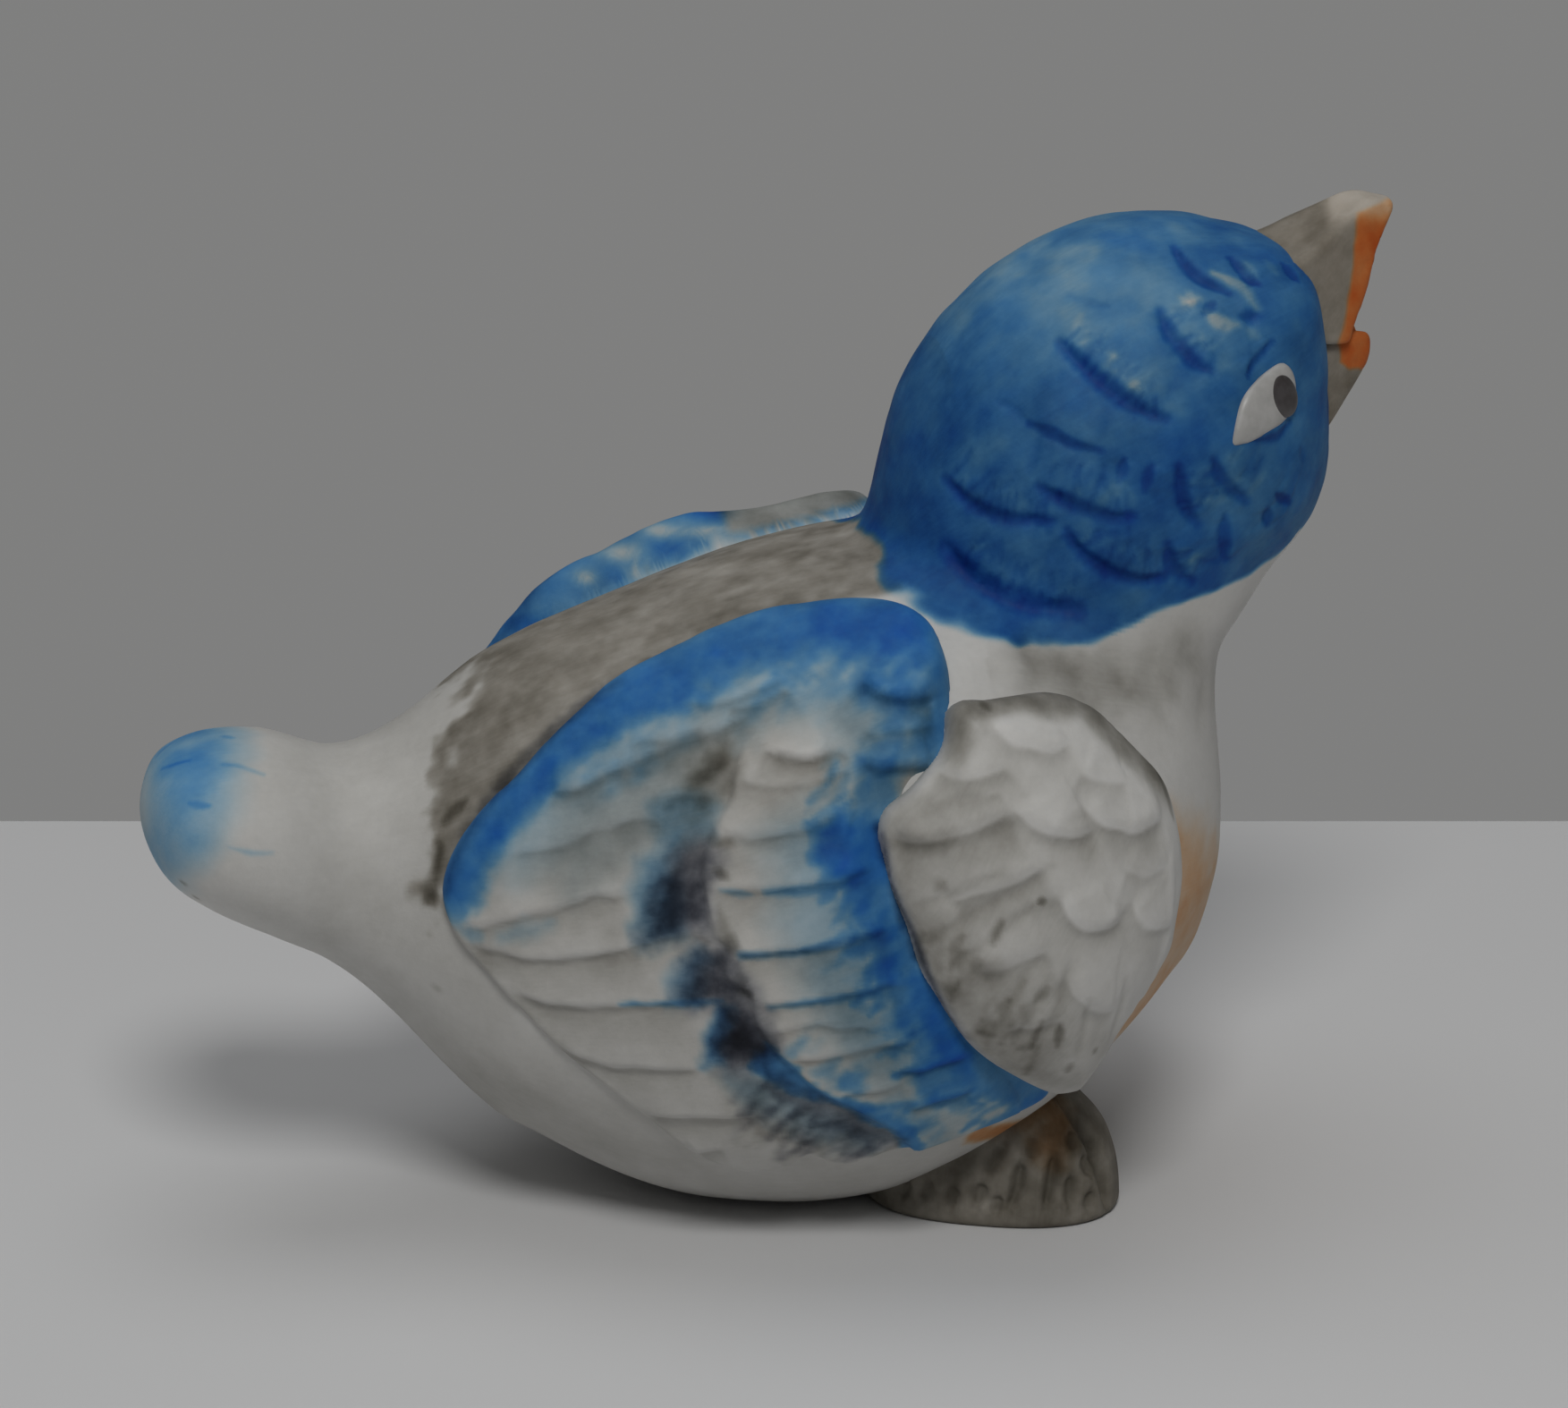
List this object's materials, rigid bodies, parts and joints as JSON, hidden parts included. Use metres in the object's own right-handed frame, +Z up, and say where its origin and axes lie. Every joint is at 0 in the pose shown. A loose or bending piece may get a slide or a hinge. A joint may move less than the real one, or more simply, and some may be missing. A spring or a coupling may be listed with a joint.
{
  "type": "bird figurine",
  "caption": "Free-standing hollow bisque bird ornament, chick-like with raised open beak, folded feathered wings and short tail, painted blue, white, taupe and orange.",
  "frame": {"origin": "on the table, under the middle of the figure's box", "axes": "+X the way the bird looks, +Y its left, +Z up"},
  "size_m": [0.0984, 0.0612, 0.0771],
  "materials": {
    "bisque_white": "unglazed matte",
    "bisque_blue": "unglazed matte, blue stain",
    "bisque_blue_white": "unglazed matte, blue and white",
    "bisque_taupe": "unglazed matte, grey-brown stain",
    "eye_white": "satin enamel",
    "eye_dark": "satin enamel"
  },
  "bodies": {
    "root": {"body_shell": "bisque_white", "head_shell": "bisque_blue", "tail": "bisque_white", "upper_beak": "bisque_taupe", "lower_beak": "bisque_taupe", "right_wing": "bisque_blue_white", "left_wing": "bisque_blue_white", "right_shoulder": "bisque_white", "left_shoulder": "bisque_white", "right_foot": "bisque_taupe", "left_foot": "bisque_taupe", "right_eye": "eye_white", "left_eye": "eye_white", "right_pupil": "eye_dark", "left_pupil": "eye_dark"}
  },
  "joints": []
}
